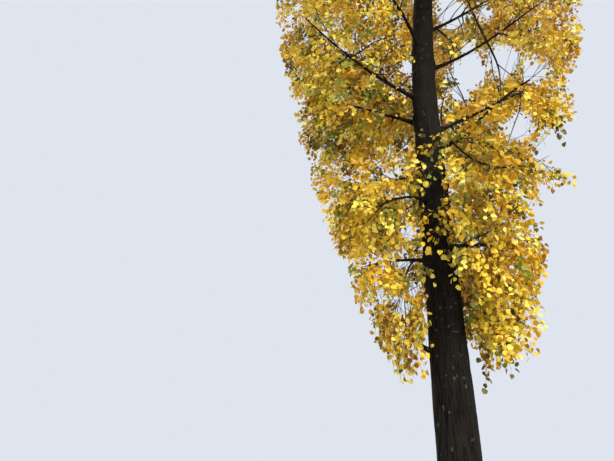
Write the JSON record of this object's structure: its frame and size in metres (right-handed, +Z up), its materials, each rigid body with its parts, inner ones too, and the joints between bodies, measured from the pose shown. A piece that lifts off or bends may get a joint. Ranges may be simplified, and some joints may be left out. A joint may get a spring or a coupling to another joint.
{
  "type": "poplar tree",
  "caption": "Tall poplar in golden autumn leaf: straight furrowed trunk with root flare, rising boughs and airy masses of foliage, cut flat at ground level.",
  "frame": {"origin": "centre of the flat cut under the trunk, at ground level", "axes": "+Z up the trunk, +X to the right of the tree as the picture shows it, +Y to its back"},
  "size_m": [5.4081, 5.4242, 21.9264],
  "materials": {
    "trunk_bark": "matt, dark grey-brown, furrowed low down and scarred higher up",
    "limb_bark": "matt, dark grey-brown, smoother than the trunk, ringed with scars",
    "autumn_foliage": "thin matt leaves, gold with orange-brown, lemon and olive among them"
  },
  "bodies": {
    "root": {"trunk": "trunk_bark", "bough_01": "limb_bark", "bough_02": "limb_bark", "bough_03": "limb_bark", "bough_04": "limb_bark", "bough_05": "limb_bark", "bough_06": "limb_bark", "bough_07": "limb_bark", "bough_08": "limb_bark", "bough_09": "limb_bark", "bough_10": "limb_bark", "bough_11": "limb_bark", "bough_12": "limb_bark", "bough_13": "limb_bark", "bough_14": "limb_bark", "bough_15": "limb_bark", "bough_16": "limb_bark", "bough_17": "limb_bark", "bough_18": "limb_bark", "bough_19": "limb_bark", "bough_20": "limb_bark", "bough_21": "limb_bark", "bough_22": "limb_bark", "bough_23": "limb_bark", "bough_24": "limb_bark", "foliage_bough_01": "autumn_foliage", "foliage_bough_02": "autumn_foliage", "foliage_bough_03": "autumn_foliage", "foliage_bough_04": "autumn_foliage", "foliage_bough_05": "autumn_foliage", "foliage_bough_06": "autumn_foliage", "foliage_bough_07": "autumn_foliage", "foliage_bough_08": "autumn_foliage", "foliage_bough_09": "autumn_foliage", "foliage_bough_10": "autumn_foliage", "foliage_bough_11": "autumn_foliage", "foliage_bough_12": "autumn_foliage", "foliage_bough_13": "autumn_foliage", "foliage_bough_14": "autumn_foliage", "foliage_bough_15": "autumn_foliage", "foliage_bough_16": "autumn_foliage", "foliage_bough_17": "autumn_foliage", "foliage_bough_18": "autumn_foliage", "foliage_bough_19": "autumn_foliage", "foliage_bough_20": "autumn_foliage", "foliage_bough_21": "autumn_foliage", "foliage_bough_22": "autumn_foliage", "foliage_bough_23": "autumn_foliage", "foliage_bough_24": "autumn_foliage", "foliage_leader_01": "autumn_foliage", "foliage_leader_02": "autumn_foliage", "foliage_leader_03": "autumn_foliage", "foliage_leader_04": "autumn_foliage", "foliage_leader_05": "autumn_foliage", "foliage_leader_06": "autumn_foliage", "foliage_leader_07": "autumn_foliage", "foliage_top": "autumn_foliage"}
  },
  "joints": []
}
